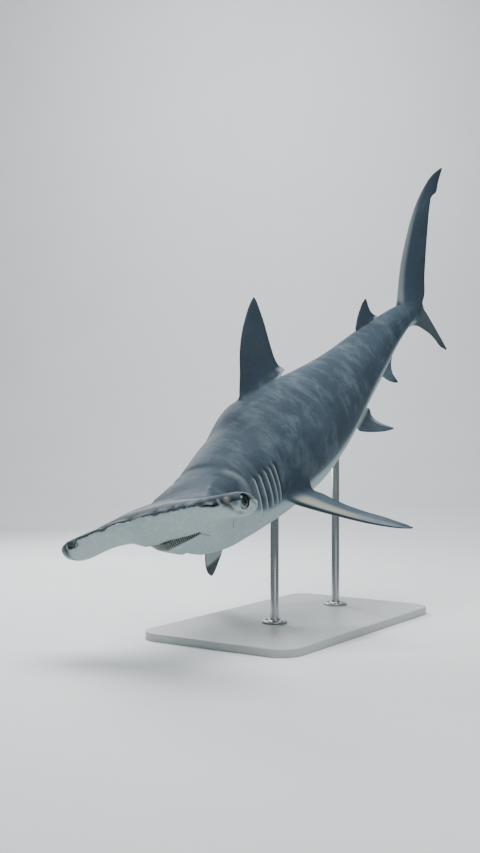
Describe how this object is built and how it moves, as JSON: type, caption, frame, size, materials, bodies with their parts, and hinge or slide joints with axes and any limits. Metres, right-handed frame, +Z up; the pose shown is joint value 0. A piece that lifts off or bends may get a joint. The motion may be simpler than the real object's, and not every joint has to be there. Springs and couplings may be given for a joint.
{
  "type": "great hammerhead shark model on a display stand",
  "caption": "Life-size still model of a great hammerhead shark, nose down and turning as it swims, on a flat base with two rods.",
  "frame": {"origin": "middle of the underside of the stand's base", "axes": "+Z up, -Y the way the snout points, +X to the animal's left"},
  "size_m": [0.9253, 2.1755, 1.9806],
  "materials": {
    "shark_skin": "satin",
    "wet_eye": "gloss",
    "stand_board": "satin",
    "stand_steel": "brushed"
  },
  "bodies": {
    "root": {"head": "shark_skin", "left_hammer_wing": "shark_skin", "right_hammer_wing": "shark_skin", "left_eye": "wet_eye", "right_eye": "wet_eye", "gills": "shark_skin", "front_trunk": "shark_skin", "rear_trunk": "shark_skin", "tail_stalk": "shark_skin", "upper_tail_lobe": "shark_skin", "lower_tail_lobe": "shark_skin", "first_dorsal_fin": "shark_skin", "second_dorsal_fin": "shark_skin", "anal_fin": "shark_skin", "left_pectoral_fin": "shark_skin", "right_pectoral_fin": "shark_skin", "left_pelvic_fin": "shark_skin", "right_pelvic_fin": "shark_skin", "stand_base": "stand_board", "stand_rod_front": "stand_steel", "stand_rod_rear": "stand_steel"}
  },
  "joints": []
}
